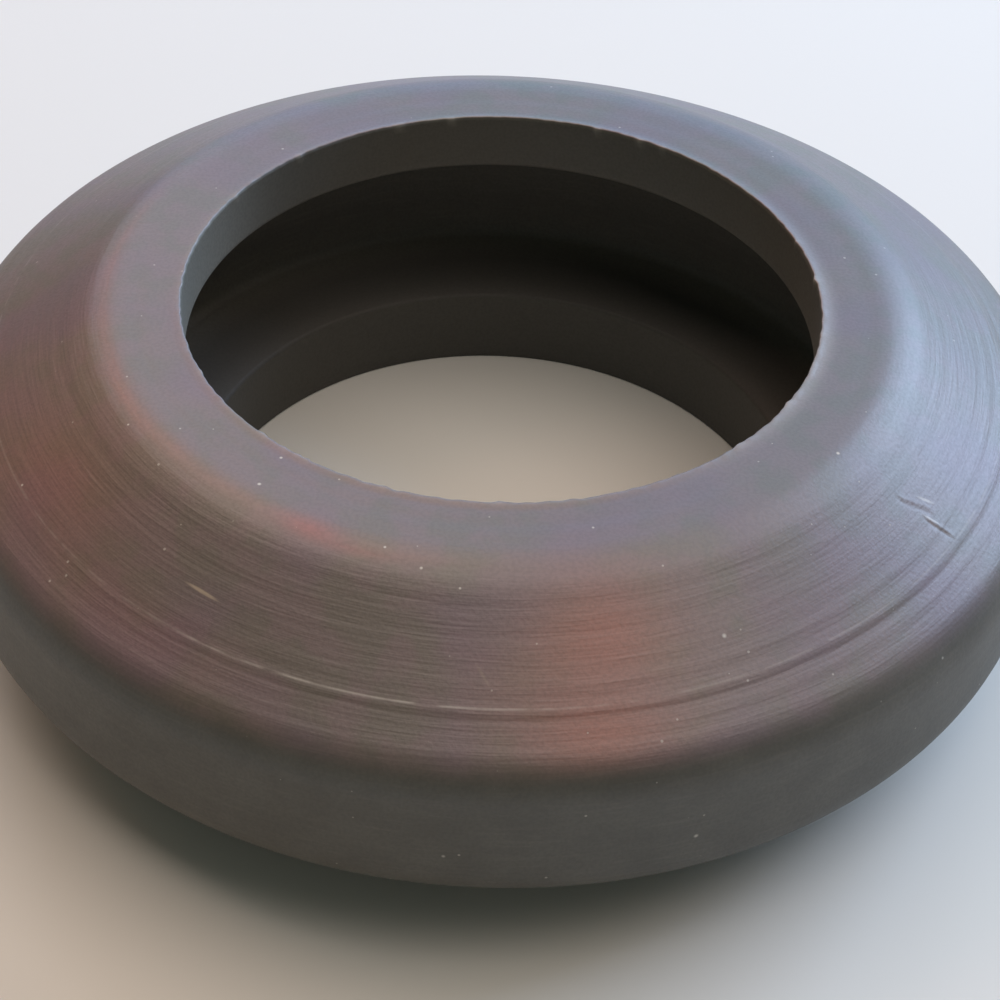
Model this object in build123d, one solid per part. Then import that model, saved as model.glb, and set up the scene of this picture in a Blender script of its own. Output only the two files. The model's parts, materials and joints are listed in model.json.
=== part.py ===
from build123d import *

import math
import os

# Lip seal ring, moulded in one piece from black rubber, that seals the joint between two hose couplings.
# Outside, each side has a flat sealing face, a conical shoulder and a rounded edge to the rim.
# Inside, a groove parts the bore into two lips, and the pressure in it spreads them against their seats.
# Millimetres: Z is the bore's axis, and the lower sealing face lies on z = 0.

# Overall sizes
outer_diameter = 34.0
bore_diameter = 19.0
height = 10.0

# Outside of the section, the same above and below mid height
face_diameter = 24.0
rim_height = 4.2  # between the sharp corners, before their edges are rounded
face_edge_radius = 3.0
rim_edge_radius = 1.5
face_rounding_share = 0.9  # most of the flat face's width that the rounding of its edge can take up

# Inside of the section, where the lower lip is the thicker one
upper_lip_height = 1.9
lower_lip_height = 2.7
rim_wall = 4.5  # rubber between the groove's floor and the rim
groove_draft_angle = 12.0  # degrees that each side of the groove leans, so that the mould's core lets go

# Distances from the axis and levels that follow from these
outer_radius = outer_diameter / 2
bore_radius = bore_diameter / 2
face_radius = face_diameter / 2
groove_radius = outer_radius - rim_wall
groove_depth = groove_radius - bore_radius
shoulder_drop = (height - rim_height) / 2
shoulder_angle = math.atan2(shoulder_drop, outer_radius - face_radius)
face_rounding_room = face_rounding_share * (face_radius - bore_radius)
face_edge_rounding = min(face_edge_radius, face_rounding_room / math.tan(shoulder_angle / 2))
groove_draft = groove_depth * math.tan(math.radians(groove_draft_angle))
sharp = 0


def section_corners():
    """Corners of the ring's section as (distance from the axis, level, rounding), in order round it.

    They run from the lower lip over the lower face, the rim and the upper face to the upper lip, and back
    down the groove. The lips' own edges are sharp, as the moulded skin is trimmed off there.
    """
    return [
        (bore_radius, 0, sharp),
        (face_radius, 0, face_edge_rounding),
        (outer_radius, shoulder_drop, rim_edge_radius),
        (outer_radius, height - shoulder_drop, rim_edge_radius),
        (face_radius, height, face_edge_rounding),
        (bore_radius, height, sharp),
        (bore_radius, height - upper_lip_height, sharp),
        (groove_radius, height - upper_lip_height - groove_draft, sharp),
        (groove_radius, lower_lip_height + groove_draft, sharp),
        (bore_radius, lower_lip_height, sharp),
    ]


def make_seal_ring():
    """The section with its rounded corners, turned once about the bore's axis."""
    corners = section_corners()
    places = [(radius, level) for radius, level, rounding in corners]
    roundings = [rounding for radius, level, rounding in corners]
    section = make_face(FilletPolyline(*places, radius=roundings, close=True))
    return revolve(Plane.XZ * section, axis=Axis.Z)


os.makedirs("parts", exist_ok=True)
export_step(make_seal_ring(), "parts/seal_ring.step")
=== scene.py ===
import json
import math

import bpy
import numpy as np
from mathutils import Matrix, Vector


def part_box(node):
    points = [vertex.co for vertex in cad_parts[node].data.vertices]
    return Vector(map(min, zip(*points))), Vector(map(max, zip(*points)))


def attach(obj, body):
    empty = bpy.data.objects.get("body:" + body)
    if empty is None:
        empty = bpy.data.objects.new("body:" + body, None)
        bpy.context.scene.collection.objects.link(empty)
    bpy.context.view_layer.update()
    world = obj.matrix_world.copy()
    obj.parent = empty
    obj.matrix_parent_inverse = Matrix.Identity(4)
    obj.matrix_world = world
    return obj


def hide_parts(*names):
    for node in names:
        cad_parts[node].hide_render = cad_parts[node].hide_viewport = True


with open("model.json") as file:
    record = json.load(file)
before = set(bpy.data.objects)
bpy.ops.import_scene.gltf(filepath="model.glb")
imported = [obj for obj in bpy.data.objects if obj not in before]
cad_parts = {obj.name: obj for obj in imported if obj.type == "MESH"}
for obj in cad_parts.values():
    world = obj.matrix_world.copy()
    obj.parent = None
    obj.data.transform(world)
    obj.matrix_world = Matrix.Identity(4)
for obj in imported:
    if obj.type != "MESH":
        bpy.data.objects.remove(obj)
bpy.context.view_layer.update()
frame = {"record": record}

# The seal is one ring of black rubber, pressed and cured in a steel mould that was turned on a lathe.
# The mould left fine turning lines on the rubber, and a low step where its insert met its body.
# Skin that squeezed out into the bore was trimmed off by hand, which left nibs along the upper lip's edge.

mm = 0.001
low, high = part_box("seal_ring")
mounts = {mount["name"]: mount for mount in frame["record"]["mounts"]}
height = high.z - low.z
outer_radius = (high.x - low.x) / 2
bore_radius = mounts["bore"]["dims"]["r_mm"] * mm
face_radius = 12.0 * mm
shoulder_drop = 2.9 * mm
face_edge_radius = 3.0 * mm
rim_edge_radius = 1.5 * mm
lip_edge_radius = 0.10 * mm
inner_edge_radius = 0.15 * mm
upper_lip_height = 1.9 * mm
lower_lip_height = 2.7 * mm
groove_radius = 12.5 * mm
groove_draft = 0.638 * mm
groove_corner_radius = 0.4 * mm
slope = shoulder_drop / (outer_radius - face_radius)
lift_radius = 9.88 * mm  # inside it, the face rises to its trimmed edge
step_radius = 15.40 * mm
step_reach = 0.15 * mm  # on either side of the step, where the section's points lie closer together


def section_line(corners):
    """Closed line round the section, as an array of (distance from the axis, level).

    A corner is (distance, level, rounding, points on its arc, points on the stretch after it). An arc starts
    rounding * tan(turn / 2) before the corner, and its points are start + rounding * (sin(a) * ahead +
    (1 - cos(a)) * aside) for a from zero to the turn. The stretches between the arcs are straight.
    """
    place = np.array([corner[:2] for corner in corners])
    ahead = np.roll(place, -1, axis=0) - place
    ahead /= np.linalg.norm(ahead, axis=1)[:, None]
    before = np.roll(ahead, 1, axis=0)
    cross = before[:, 0] * ahead[:, 1] - before[:, 1] * ahead[:, 0]
    turn = np.arctan2(cross, (before * ahead).sum(1))
    aside = np.sign(cross)[:, None] * np.stack([-before[:, 1], before[:, 0]], axis=1)
    cut = np.array([corner[2] for corner in corners]) * np.tan(np.abs(turn) / 2)
    arc_start = place - cut[:, None] * before
    arc_end = place + cut[:, None] * ahead
    next_start = np.roll(arc_start, -1, axis=0)
    pieces = []
    for k, (_, _, rounding, on_arc, on_stretch) in enumerate(corners):
        a = np.linspace(0, abs(turn[k]), on_arc, endpoint=False)[:, None]
        pieces.append(arc_start[k] + rounding * (np.sin(a) * before[k] + (1 - np.cos(a)) * aside[k]))
        share = np.linspace(0, 1, on_stretch, endpoint=False)[:, None]
        pieces.append(arc_end[k] + share * (next_start[k] - arc_end[k]))
    return np.concatenate(pieces)


def cone_level(radius):
    """Level of the upper cone at a distance from the axis."""
    return height - (radius - face_radius) * slope


line = section_line([
    (bore_radius, height, lip_edge_radius, 6, 5),
    (lift_radius, height, 0, 0, 10),
    (face_radius, height, face_edge_radius, 12, 22),
    (step_radius - step_reach, cone_level(step_radius - step_reach), 0, 0, 10),
    (step_radius + step_reach, cone_level(step_radius + step_reach), 0, 0, 8),
    (outer_radius, height - shoulder_drop, rim_edge_radius, 10, 10),
    (outer_radius, shoulder_drop, rim_edge_radius, 7, 9),
    (face_radius, 0, face_edge_radius, 5, 5),
    (bore_radius, 0, lip_edge_radius, 4, 7),
    (bore_radius, lower_lip_height, inner_edge_radius, 3, 4),
    (groove_radius, lower_lip_height + groove_draft, groove_corner_radius, 3, 5),
    (groove_radius, height - upper_lip_height - groove_draft, groove_corner_radius, 3, 4),
    (bore_radius, height - upper_lip_height, inner_edge_radius, 3, 7),
])
ahead = np.roll(line, -1, axis=0) - np.roll(line, 1, axis=0)
ahead /= np.linalg.norm(ahead, axis=1)[:, None]
outward = np.stack([-ahead[:, 1], ahead[:, 0]], axis=1)
distance = line[:, :1]
level = line[:, 1:]
across_line = distance - level

# Which part of the ring each point of the section is on
groove_half_height = 3.2 * mm
facing_in = outward[:, :1] < -0.5
in_groove = distance < groove_radius + groove_corner_radius
in_groove &= np.abs(level - height / 2) < groove_half_height
inside = facing_in | in_groove
on_upper_lip = facing_in & (level > height - upper_lip_height)
on_top = ~inside & (level > height / 2)

# Places round the ring
turns = 612
chance = np.random.default_rng(17)
nick_azimuth = -33.4


def crowded_angles(place, reach, crowding, lean):
    """Angles round the ring, closer together at the front and at one place.

    Their density is 1 - lean * sin(angle) + crowding * exp(-((angle - place) / reach)^2), and each angle is
    where the running sum of the density reaches an equal share of the whole.
    """
    fine = np.linspace(-math.pi, math.pi, 40 * turns + 1)
    density = 1 - lean * np.sin(fine) + crowding * np.exp(-((fine - place) / reach) ** 2)
    running = np.concatenate([[0], np.cumsum((density[1:] + density[:-1]) / 2)])
    return np.interp(np.arange(turns) / turns, running / running[-1], fine)


angle = crowded_angles(math.radians(nick_azimuth), reach=math.radians(1.6), crowding=2.5, lean=0.25)


def turned_from(azimuth):
    """Angle of each column from an azimuth in degrees, between half a turn either way."""
    return np.angle(np.exp(1j * (angle - math.radians(azimuth))))


def wander(first, last):
    """A ragged line round the ring, about one high.

    It is a sum of cos(k * angle + phase) for k from first to last, each with a phase of its own.
    """
    k = np.arange(first, last + 1)[:, None]
    phase = chance.uniform(0, 2 * np.pi, k.shape)
    return np.cos(k * angle + phase).sum(0) / math.sqrt(len(k) / 2)


def rings(count, shortest, longest, most_waves):
    """Relief of turning marks: a sum of waves along the section, each bent a little round the ring.

    A wave is pitch * cos(2 pi * across / pitch + waves * angle + phase), and the sum is scaled to about one.
    """
    pitch = chance.uniform(shortest, longest, count)
    waves = chance.integers(-most_waves, most_waves + 1, count)
    phase = chance.uniform(0, 2 * np.pi, count)
    total = np.zeros((len(line), turns))
    for one_pitch, one_waves, one_phase in zip(pitch, waves, phase):
        total += one_pitch * np.cos(2 * np.pi * across_line / one_pitch + one_waves * angle + one_phase)
    return total / (pitch.mean() * math.sqrt(count / 2))


def ramp(value):
    """Zero below zero, one above one, and a smooth step between them."""
    share = np.clip(value, 0, 1)
    return share * share * (3 - 2 * share)


# Turning lines on the upper outside, and a slight warp of the whole ring
turning_height = 0.002 * mm
warp_height = 0.015 * mm
relief = on_top * turning_height * rings(24, shortest=0.45 * mm, longest=1.2 * mm, most_waves=2)
relief += warp_height * rings(12, shortest=6 * mm, longest=20 * mm, most_waves=3)

# The trimming knife has lifted the face's inner edge a little, and most at the right.
lift_height = 0.045 * mm * (1 + 0.4 * np.cos(turned_from(-10)))
inward_share = np.clip((lift_radius - distance) / (lift_radius - bore_radius), 0, 1)
relief += on_top * lift_height * inward_share ** 2

# The step: rubber outside the insert's edge lies a little lower, down to the rim, and most at the right,
# because the insert sat askew.
step_height = 0.0076 * mm * (1 + 0.8 * np.cos(turned_from(-25)))
step_width = 0.16 * mm
step_wander = 0.015 * mm
rim_fade_width = 0.7 * mm
step_at = step_radius + step_wander * wander(1, 9)
rim_fade = ramp((outer_radius - distance) / rim_fade_width)
relief -= on_top * step_height * ramp((distance - step_at) / step_width + 0.5) * rim_fade


def cut_relief(start, end, depth, width):
    """A cut in the cone with its lip thrown up beside it, between two ends given as (radius, azimuth).

    Off is the distance from the line between the ends, on the cone laid flat. The relief is
    depth * (exp(-((off - 1.6 * width) / width)^2) - exp(-(off / width)^2)), and it fades out past the ends.
    """
    middle_radius = (start[0] + end[0]) / 2
    middle_azimuth = (start[1] + end[1]) / 2
    flat = np.stack(np.broadcast_arrays(
        middle_radius * turned_from(middle_azimuth),
        (distance - middle_radius) * math.hypot(1, slope),
    ))
    reach = np.array([
        middle_radius * math.radians(end[1] - start[1]),
        (end[0] - start[0]) * math.hypot(1, slope),
    ]) / 2
    half = np.linalg.norm(reach)
    along = np.tensordot(reach / half, flat, 1)
    off = flat[0] * reach[1] / half - flat[1] * reach[0] / half
    fade = np.exp(-(np.clip(np.abs(along) - half, 0, None) / width) ** 2)
    lip = depth * np.exp(-((off - 1.6 * width) / width) ** 2)
    return fade * (lip - depth * np.exp(-(off / width) ** 2))


# The nick on the shoulder, in two parts
nick_depth = 0.015 * mm
nick_width = 0.055 * mm
nick_cuts = [
    ((13.62 * mm, -34.4), (14.28 * mm, -32.3)),
    ((14.44 * mm, -33.6), (15.06 * mm, -32.7)),
]
for start, end in nick_cuts:
    relief += on_top * cut_relief(start, end, nick_depth, nick_width)

# The trimmed edge: a ragged line, with nibs that reach into the bore.
edge_reach = 0.14 * mm
ragged_in = 0.009 * mm
ragged_up = 0.006 * mm
nib_places = np.concatenate([chance.uniform(-180, 180, 18), [-89, -108, -127, -53, -45]])
nibs = np.zeros(turns)
for azimuth in nib_places:
    nib_half_turn = math.radians(chance.uniform(0.4, 1.0))
    nib_length = chance.uniform(0.02, 0.06) * mm
    nibs += nib_length * np.exp(-(turned_from(azimuth) / nib_half_turn) ** 2)
trim_in = ragged_in * wander(15, 150) + nibs
trim_up = ragged_up * wander(12, 140) + 0.3 * nibs
near_edge = np.exp(-(np.hypot(distance - bore_radius, level - height) / edge_reach) ** 2)

# The mesh has a row for each point of the section and a column for each angle, closed both ways.
ring_distance = distance + relief * outward[:, :1] - trim_in * near_edge
ring_level = level + relief * outward[:, 1:] + trim_up * near_edge
points = np.stack([ring_distance * np.cos(angle), ring_distance * np.sin(angle), ring_level], axis=2)

row = np.arange(len(line))[:, None]
column = np.arange(turns)
next_row = (row + 1) % len(line)
next_column = (column + 1) % turns
faces = np.stack(np.broadcast_arrays(
    row * turns + column,
    next_row * turns + column,
    next_row * turns + next_column,
    row * turns + next_column,
), axis=2).reshape(-1, 4)

ring_mesh = bpy.data.meshes.new("moulded_ring")
ring_mesh.vertices.add(points.size // 3)
ring_mesh.vertices.foreach_set("co", points.astype(np.float32).ravel())
ring_mesh.loops.add(faces.size)
ring_mesh.loops.foreach_set("vertex_index", faces.astype(np.int32).ravel())
ring_mesh.polygons.add(len(faces))
ring_mesh.polygons.foreach_set("loop_start", np.arange(0, faces.size, 4, dtype=np.int32))
ring_mesh.polygons.foreach_set("use_smooth", np.ones(len(faces), dtype=bool))
ring_mesh.update(calc_edges=True)
seal = bpy.data.objects.new("moulded_ring", ring_mesh)
bpy.context.scene.collection.objects.link(seal)


def stain(ovals):
    """Soft oval stains on the upper outside, as (azimuth, radius, half length, half width, strength).

    A stain is strength * exp(-(round / half length)^2 - (off / half width)^2), where round is the length
    along the ring from its middle, and off is the distance in or out from it, all in millimetres.
    """
    total = np.zeros((len(line), turns))
    for azimuth, radius, along, across, strength in ovals:
        round_ring = radius * turned_from(azimuth) / along
        total += strength * np.exp(-round_ring ** 2 - ((distance / mm - radius) / across) ** 2)
    return on_top * np.clip(total, 0, 1)


# Broad marks, each as a value at every point: red bloom, wear with a painted highlight and a pink blush
# along the face's edge, the bare rubber inside, a painted sheen on the upper lip at the left, and the pale
# trimmed edge with a painted highlight at its right.
sheen_half_turn = math.radians(28)
full_nib = 0.05 * mm
# A painted highlight along the face's inner edge at the right, added to the pale trimmed edge and its nibs.
right_edge_highlight = stain([(-12, 9.72, 6.0, 0.24, 0.6)])
marks = {
    "bloom": stain([
        (-77, 13.6, 1.8, 1.4, 0.95),
        (-79, 15.9, 2.0, 0.8, 0.85),
        (-84, 14.6, 2.2, 1.2, 0.25),
        (-146, 14.2, 2.6, 1.3, 0.35),
        (-160, 15.5, 5.0, 1.6, 0.2),
        (-127, 15.6, 3.0, 0.8, 0.2),
    ]),
    "wear_and_highlight": stain([
        (-168, 11.8, 4.5, 0.3, 0.35),
        (-146, 11.8, 3.5, 0.3, 0.35),
        (-128, 11.7, 2.6, 0.25, 0.3),
        (-104, 11.8, 2.6, 0.25, 0.35),
        (165, 11.8, 4.0, 0.3, 0.3),
    ]),
    "blush": stain([
        (-114, 11.75, 0.8, 0.3, 0.65),
        (-107, 12.0, 1.0, 0.15, 0.4),
    ]),
    "bare": inside * np.ones((1, turns)),
    "upper_lip_sheen": on_upper_lip * np.exp(-(turned_from(175) / sheen_half_turn) ** 4),
    "pale_edge_and_highlight": near_edge * np.clip(0.5 * on_top + nibs / full_nib, 0, 1) + right_edge_highlight,
}
for name, values in marks.items():
    mark = ring_mesh.attributes.new(name, "FLOAT", "POINT")
    mark.data.foreach_set("value", values.astype(np.float32).ravel())


class Socket:
    """One output of a node: Python's sums on it add Math nodes, and its node method adds any other node."""

    def __init__(self, tree, output=None):
        self.tree = tree
        self.output = output

    def node(self, kind, settings, inputs, output=0):
        """A new node, with its settings, and with values or links in its inputs.

        It gives the output that is named, or a list of them where a list of names is given.
        """
        made = self.tree.nodes.new(kind)
        for name, value in settings.items():
            setattr(made, name, value)
        for name, value in inputs.items():
            if isinstance(value, Socket):
                self.tree.links.new(value.output, made.inputs[name])
            else:
                made.inputs[name].default_value = value
        if isinstance(output, list):
            return [Socket(self.tree, made.outputs[one]) for one in output]
        return Socket(self.tree, made.outputs[output])

    def sum(self, operation, first, second):
        """A Math node on two values."""
        return self.node("ShaderNodeMath", {"operation": operation}, {0: first, 1: second})

    def __add__(self, other):
        return self.sum("ADD", self, other)

    def __radd__(self, other):
        return self.sum("ADD", other, self)

    def __sub__(self, other):
        return self.sum("SUBTRACT", self, other)

    def __rsub__(self, other):
        return self.sum("SUBTRACT", other, self)

    def __mul__(self, other):
        return self.sum("MULTIPLY", self, other)

    def __rmul__(self, other):
        return self.sum("MULTIPLY", other, self)

    def __truediv__(self, other):
        return self.sum("DIVIDE", self, other)

    def __rtruediv__(self, other):
        return self.sum("DIVIDE", other, self)

    def __pow__(self, other):
        return self.sum("POWER", self, other)

    def __rpow__(self, other):
        return self.sum("POWER", other, self)

    def __or__(self, other):
        return self.sum("MAXIMUM", self, other)

    def __ror__(self, other):
        return self.sum("MAXIMUM", other, self)

    def __and__(self, other):
        return self.sum("MINIMUM", self, other)

    def __rand__(self, other):
        return self.sum("MINIMUM", other, self)

    def rise(self, start, end):
        """Zero up to start, one from end on and a smooth step between, or the reverse if end is lower."""
        ends = {"Value": self, "From Min": start, "From Max": end}
        return self.node("ShaderNodeMapRange", {"interpolation_type": "SMOOTHSTEP"}, ends)

    def between(self, first, second):
        """The first colour where this value is zero, the second where it is one."""
        return self.node("ShaderNodeMix", {"data_type": "RGBA"}, {0: self, 6: first, 7: second}, 2)

    def measure(self, operation, other):
        """A number from vectors: a LENGTH, or the DISTANCE between two."""
        return self.node("ShaderNodeVectorMath", {"operation": operation}, {0: self, 1: other}, "Value")


def shade(red, green, blue):
    """A colour given by its screen values from 0 to 255, in the linear values that a shader takes."""
    screen = np.array([red, green, blue]) / 255
    linear = np.where(screen > 0.04045, ((screen + 0.055) / 1.055) ** 2.4, screen / 12.92)
    return (*linear, 1.0)


rubber = bpy.data.materials.new("moulded_rubber")
rubber.use_nodes = True
rubber.node_tree.nodes.clear()
tree = Socket(rubber.node_tree)
spot = tree.node("ShaderNodeTexCoord", {}, {}, "Object")
spot_mm = tree.node("ShaderNodeVectorMath", {"operation": "SCALE"}, {0: spot, "Scale": 1 / mm})
x, y, z = tree.node("ShaderNodeSeparateXYZ", {}, {0: spot_mm}, ["X", "Y", "Z"])
radius = (x * x + y * y) ** 0.5


def noise(vector, scale, detail):
    """Soft noise about a half, with a scale per unit of the vector and a number of finer layers."""
    return tree.node("ShaderNodeTexNoise", {}, {"Vector": vector, "Scale": scale, "Detail": detail}, "Fac")


def streaks(round_ring, per_mm, detail):
    """Noise drawn out round the ring: it changes fast along the section and slowly with the angle."""
    parts = {"X": x / radius * round_ring, "Y": y / radius * round_ring, "Z": (radius - z) * per_mm}
    return noise(tree.node("ShaderNodeCombineXYZ", {}, parts), 1.0, detail)


def mark_value(name):
    """A broad mark's value, read from the mesh."""
    return tree.node("ShaderNodeAttribute", {"attribute_name": name}, {}, "Fac")


def outside_point(radius_mm, azimuth):
    """A point of the upper outside, in millimetres, at a distance from the axis and an azimuth."""
    top = on_top[:, 0]
    order = np.argsort(line[top, 0])
    at_level = np.interp(radius_mm * mm, line[top, 0][order], line[top, 1][order]) / mm
    turn = math.radians(azimuth)
    return (radius_mm * math.cos(turn), radius_mm * math.sin(turn), at_level)


def rim_point(level_mm, azimuth):
    """A point of the rim's wall, in millimetres, at a level and an azimuth."""
    turn = math.radians(azimuth)
    rim_mm = outer_radius / mm
    return (rim_mm * math.cos(turn), rim_mm * math.sin(turn), level_mm)


def near_stroke(start, end, half_width):
    """A thin spindle between two points, in millimetres: one along its middle, and none outside it.

    The place is taken in the spindle's own axes, whose units are its half width and 1.2 times half the
    distance between the points.
    """
    reach = (Vector(end) - Vector(start)) / 2
    in_spindle = tree.node("ShaderNodeMapping", {"vector_type": "TEXTURE"}, {
        "Vector": spot_mm,
        "Location": Vector(start) + reach,
        "Rotation": reach.to_track_quat("X", "Z").to_euler(),
        "Scale": (1.2 * reach.length, half_width, half_width),
    })
    return in_spindle.measure("LENGTH", (0, 0, 0)).rise(1.0, 0.3)


# Patterns that the colour, the bump and the gloss share
fine_lines = streaks(8.0, per_mm=8.0, detail=1.0)
broad_lines = streaks(5.0, per_mm=2.6, detail=1.0)
mottle = noise(spot_mm, 0.8, 2.0)
cloud = noise(spot_mm, 0.25, 1.0)
grain = noise(spot_mm, 10.0, 1.0)
patches = noise(spot_mm, 1.4, 1.0).rise(0.3, 0.6)

# Parts of the ring, by the distance from the axis and the level in millimetres
face_mm = face_radius / mm
shoulder_mm = (height - shoulder_drop) / mm
lip_mm = lower_lip_height / mm
bare = mark_value("bare")
on_cone = radius.rise(face_mm - 0.4, face_mm + 0.6)
on_rim = z.rise(shoulder_mm + 0.5, shoulder_mm - 0.2)
up_bore = z.rise(2.0, 8.2)
on_flank = bare * z.rise(lip_mm - 0.1, lip_mm + 0.02) * z.rise(lip_mm + 0.55, lip_mm + 0.2)
in_corner = bare * z.rise(lip_mm + 0.35, lip_mm + 0.6) * z.rise(lip_mm + 2.3, lip_mm + 0.9)

brown_rubber = shade(103, 88, 87)
olive_rubber = shade(95, 87, 80)
violet_rubber = shade(101, 82, 95)
shaded_rim_rubber = shade(78, 76, 68)
darker_shaded_rim = shade(68, 66, 58)
upper_bore = shade(78, 76, 69)
lower_bore_shade = shade(62, 60, 54)
painted_flank_shade = shade(48, 46, 41)
painted_corner_light = shade(90, 87, 79)
painted_lip_sheen = shade(113, 111, 103)
red_bloom = shade(136, 84, 72)
worn_edge_and_highlight = shade(146, 98, 86)
pink_blush = shade(140, 74, 76)
dark_grain = shade(30, 28, 26)
pale_lines = shade(150, 140, 130)
# Pale colour for dust, and for the painted highlights on the step's edge, the nick's lips and the inner edge.
pale_dust_and_highlight = shade(205, 200, 190)
cream_line = shade(164, 150, 130)

colour = mottle.rise(0.4, 0.62).between(brown_rubber, olive_rubber)
colour = (cloud.rise(0.45, 0.65) * 0.6).between(colour, violet_rubber)
colour = mark_value("bloom").between(colour, red_bloom)
# Wear along the face's edge, together with a painted highlight on the crease at the left.
colour = (mark_value("wear_and_highlight") * (broad_lines * 0.8 + 0.5)).rise(0.0, 1.1).between(colour, worn_edge_and_highlight)
colour = mark_value("blush").between(colour, pink_blush)
# Painted shade: the rim's wall is darker than the face above it, standing for the shade that falls on it.
colour = on_rim.between(colour, mottle.rise(0.25, 0.75).between(shaded_rim_rubber, darker_shaded_rim))
# The bore's rubber is darker than the outside, partly its own colour and partly painted shade that deepens
# towards the bottom.
colour = bare.between(colour, up_bore.between(lower_bore_shade, upper_bore))
# Painted shade darkens the lower lip's flank, and painted light brightens the groove's lower corner.
colour = on_flank.between(colour, painted_flank_shade)
colour = in_corner.between(colour, painted_corner_light)
# Painted sheen: the upper lip's wall at the left is paler, standing for the light that falls on it.
colour = mark_value("upper_lip_sheen").between(colour, painted_lip_sheen)
colour = (grain.rise(0.35, 0.7) * 0.16).between(colour, dark_grain)
colour = (fine_lines.rise(0.5, 0.8) * on_cone * 0.06).between(colour, pale_lines)

# A painted highlight on the step's upper edge, as a thin broken pale line that is densest at the front.
glint_turn = math.radians(-104)
glint_spread = 0.913  # cosine of the angle over which the line thins out
glint_radius = (step_radius - 1.2 * step_width) / mm
glint_half_width = 0.05
glint_side = (x * math.cos(glint_turn) + y * math.sin(glint_turn)) / radius
glint_share = glint_side.rise(glint_spread, 1.0) * 0.65 + 0.35
past_glint = radius - glint_radius
on_glint = past_glint.rise(-glint_half_width, 0.0) - past_glint.rise(0.0, glint_half_width)
step_glint = on_glint * z.rise(shoulder_mm + 0.1, shoulder_mm + 0.4) * glint_share * patches

# A scratch and a faint mark at the front, and painted highlights on the lips of the nick
scratch = near_stroke(outside_point(14.16, -124.4), outside_point(14.22, -119.4), half_width=0.07)
scratch = scratch * (patches * 0.6 + 0.4)
faint_mark = near_stroke(outside_point(14.12, -91.3), outside_point(14.8, -89.3), half_width=0.07)
inner_nick_highlight = near_stroke(outside_point(13.80, -32.1), outside_point(14.30, -30.8), half_width=0.075)
outer_nick_highlight = near_stroke(outside_point(14.20, -33.4), outside_point(14.70, -32.6), half_width=0.06)
nick_lip_highlights = inner_nick_highlight | outer_nick_highlight
colour = (scratch * 0.8 | faint_mark * 0.2).between(colour, cream_line)
colour = (step_glint * 0.35 | nick_lip_highlights * 0.4).between(colour, pale_dust_and_highlight)

# Dust: tiny specks anywhere, and the larger ones where they lie.
dust_per_mm = 2.2
dust_radius = 0.05
dust_gap, dust_tint = tree.node(
    "ShaderNodeTexVoronoi", {}, {"Vector": spot_mm, "Scale": dust_per_mm}, ["Distance", "Color"])
dust_pick = tree.node("ShaderNodeSeparateColor", {}, {0: dust_tint})
dust = (dust_pick.rise(0.5, 1.0) * dust_radius * dust_per_mm - dust_gap).rise(0.0, 0.05)
dust = dust * (1 - bare) * 0.45
specks = [
    (outside_point(14.23, -64.4), 0.075),
    (outside_point(14.21, -62.4), 0.04),
    (outside_point(11.66, -35.9), 0.06),
    (outside_point(10.68, -75.5), 0.045),
    (outside_point(11.08, -124.4), 0.06),
    (outside_point(15.94, -55.3), 0.04),
    (outside_point(12.18, -146.5), 0.04),
    (outside_point(15.14, -150.1), 0.045),
    (outside_point(9.9, -125.8), 0.05),
    (outside_point(11.69, -103.6), 0.045),
    (outside_point(12.11, -98.4), 0.05),
    (outside_point(12.52, -93.4), 0.04),
    (outside_point(14.8, -89.3), 0.04),
    (rim_point(4.52, -70.6), 0.08),
    (rim_point(5.3, -70.1), 0.05),
    (rim_point(4.44, -93), 0.07),
    (rim_point(4.47, -90.5), 0.04),
]
gaps = [spot_mm.measure("DISTANCE", place) / size for place, size in specks]
nearest = gaps[0]
for gap in gaps[1:]:
    nearest = nearest & gap
dust = dust | nearest.rise(1.2, 0.2) * 0.85
colour = (dust | mark_value("pale_edge_and_highlight") * 0.25).between(colour, pale_dust_and_highlight)

line_bump = (fine_lines * 0.9 + broad_lines * 0.6) * (on_cone * 0.8 + 0.2) * (1 - on_rim * 0.6)
bumps = line_bump + grain * 0.5
bumped = tree.node("ShaderNodeBump", {}, {"Strength": 0.42, "Distance": 0.02 * mm, "Height": bumps}, "Normal")
gloss = 0.38 + grain * 0.1 + on_rim * 0.14 + bare * 0.14 + dust * 0.3

skin = tree.node("ShaderNodeBsdfPrincipled", {}, {
    "Base Color": colour,
    "Roughness": gloss,
    "Normal": bumped,
    "Specular IOR Level": 1.0,
})
tree.node("ShaderNodeOutputMaterial", {}, {"Surface": skin}, [])
ring_mesh.materials.append(rubber)

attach(seal, "root")
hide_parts("seal_ring")

# The bench is a plain pale sheet that the seal lies on, and stands for no real piece.
# It is far larger than the picture, so that it has no edge near the seal in any view.

bench_half = 2.0
bench_colour = (0.72, 0.73, 0.71, 1.0)
bench_corners = [
    (-bench_half, -bench_half, 0),
    (bench_half, -bench_half, 0),
    (bench_half, bench_half, 0),
    (-bench_half, bench_half, 0),
]
bench_mesh = bpy.data.meshes.new("bench")
bench_mesh.from_pydata(bench_corners, [], [(0, 1, 2, 3)])
bench = bpy.data.objects.new("bench", bench_mesh)
bpy.context.scene.collection.objects.link(bench)
bench_paint = bpy.data.materials.new("pale_bench")
bench_paint.use_nodes = True
bench_skin = bench_paint.node_tree.nodes["Principled BSDF"]
bench_skin.inputs["Base Color"].default_value = bench_colour
bench_skin.inputs["Roughness"].default_value = 0.7
bench_mesh.materials.append(bench_paint)

# The light is a cool window behind the seal at the right, a blue sky low behind it, a pale ceiling, and a
# warm wall behind it at the left. Each is a soft panel that faces the seal from an azimuth and elevation.

middle = Vector((0, 0, height / 2))
panel_away = 0.32


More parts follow.
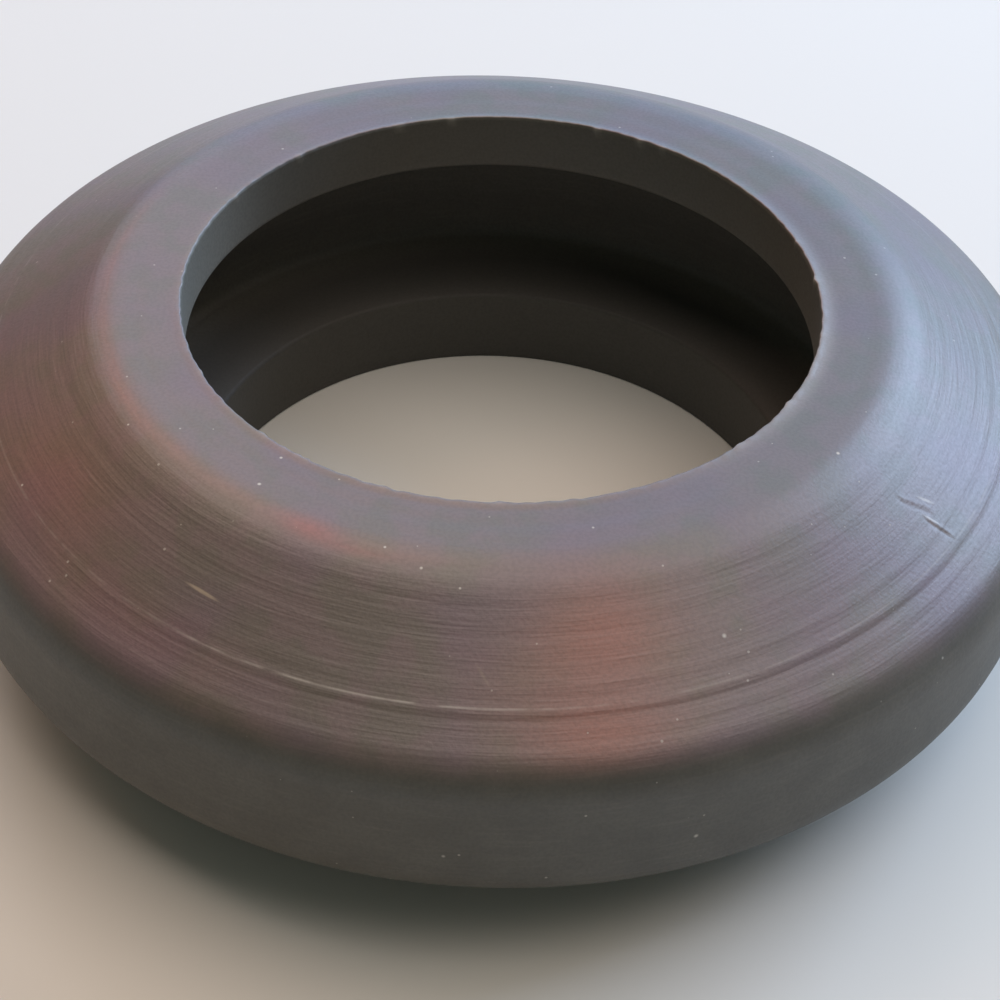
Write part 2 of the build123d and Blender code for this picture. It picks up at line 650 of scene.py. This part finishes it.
def panel(name, azimuth, elevation, width, tall, brightness, tint):
    """A soft panel light, whose power gives it the same brightness whatever its size."""
    lamp = bpy.data.lights.new(name, "AREA")
    lamp.shape = "RECTANGLE"
    lamp.size = width
    lamp.size_y = tall
    lamp.energy = brightness * math.pi * width * tall
    lamp.color = tint
    a = math.radians(azimuth)
    e = math.radians(elevation)
    toward = Vector((math.cos(e) * math.cos(a), math.cos(e) * math.sin(a), math.sin(e)))
    stand = bpy.data.objects.new(name, lamp)
    stand.location = middle + panel_away * toward
    stand.rotation_euler = toward.to_track_quat("Z", "Y").to_euler()
    bpy.context.scene.collection.objects.link(stand)


panel("window", 37, 30, width=0.20, tall=0.18, brightness=8.0, tint=(0.53, 0.71, 1.0))
panel("sky", 82, 24, width=0.42, tall=0.26, brightness=1.75, tint=(0.34, 0.67, 1.0))
panel("ceiling", 55, 82, width=0.52, tall=0.28, brightness=1.85, tint=(1.0, 0.84, 0.73))
panel("wall", 128, 41, width=0.28, tall=0.26, brightness=1.0, tint=(1.0, 0.42, 0.20))

world = bpy.data.worlds.new("room")
bpy.context.scene.world = world
world.use_nodes = True
room_light = world.node_tree.nodes["Background"]
room_light.inputs["Color"].default_value = (0.94, 1.0, 0.84, 1.0)
room_light.inputs["Strength"].default_value = 0.13

# The camera looks down into the bore from close by, a little tilted, as a hand-held camera does.
# Its place is given along its own axes from the middle of the bore's upper edge.

look_down = math.radians(41.949)
tilt = math.radians(2.347)
sight_length = 65.513 * mm
sight_right = 0.065 * mm
sight_down = -6.277 * mm
focal_share = 2.1944  # focal length as a share of the picture's width
level_right = Vector((1, 0, 0))
level_down = Vector((0, -math.sin(look_down), -math.cos(look_down)))
onward = Vector((0, math.cos(look_down), -math.sin(look_down)))
right = math.cos(tilt) * level_right - math.sin(tilt) * level_down
down = math.sin(tilt) * level_right + math.cos(tilt) * level_down
bore_top = Vector((0, 0, height))
eye = bore_top - (sight_right * right + sight_down * down + sight_length * onward)
lens = bpy.data.cameras.new("camera")
lens.sensor_width = 36.0
lens.lens = focal_share * lens.sensor_width
lens.clip_start = 0.001
lens.clip_end = 20.0
camera = bpy.data.objects.new("camera", lens)
camera.matrix_world = Matrix((
    (right.x, -down.x, -onward.x, eye.x),
    (right.y, -down.y, -onward.y, eye.y),
    (right.z, -down.z, -onward.z, eye.z),
    (0, 0, 0, 1),
))
bpy.context.scene.collection.objects.link(camera)
bpy.context.scene.camera = camera
bpy.context.scene.view_settings.view_transform = "Standard"
